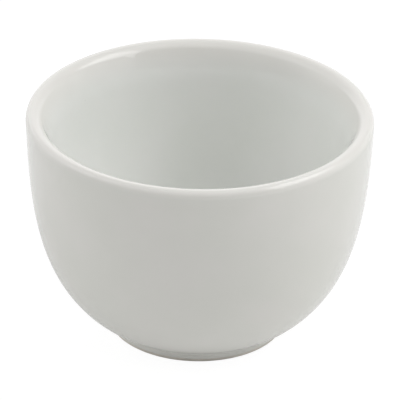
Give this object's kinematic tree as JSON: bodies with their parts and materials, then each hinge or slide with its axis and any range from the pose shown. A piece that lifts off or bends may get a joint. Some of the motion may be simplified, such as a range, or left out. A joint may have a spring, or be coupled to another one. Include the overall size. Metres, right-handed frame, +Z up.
{
  "type": "handleless tea cup",
  "caption": "Handleless porcelain tea cup: a deep round bowl with a bevelled lip on a low foot ring, glazed glossy white.",
  "frame": {"origin": "centre of the foot ring, in the plane that it stands on", "axes": "+Z up along the cup's axis; the cup is round, so +X and +Y may point anywhere"},
  "size_m": [0.0762, 0.0762, 0.0518],
  "materials": {
    "biscuit": "bare vitrified porcelain, matt and finely grained, seen only on the band under the foot",
    "glaze": "glossy clear glaze over white porcelain, very slightly grey-green"
  },
  "bodies": {
    "root": {"bowl": "biscuit", "foot_ring": "biscuit", "inside_glaze": "glaze", "outside_glaze": "glaze", "base_glaze": "glaze"}
  },
  "joints": []
}
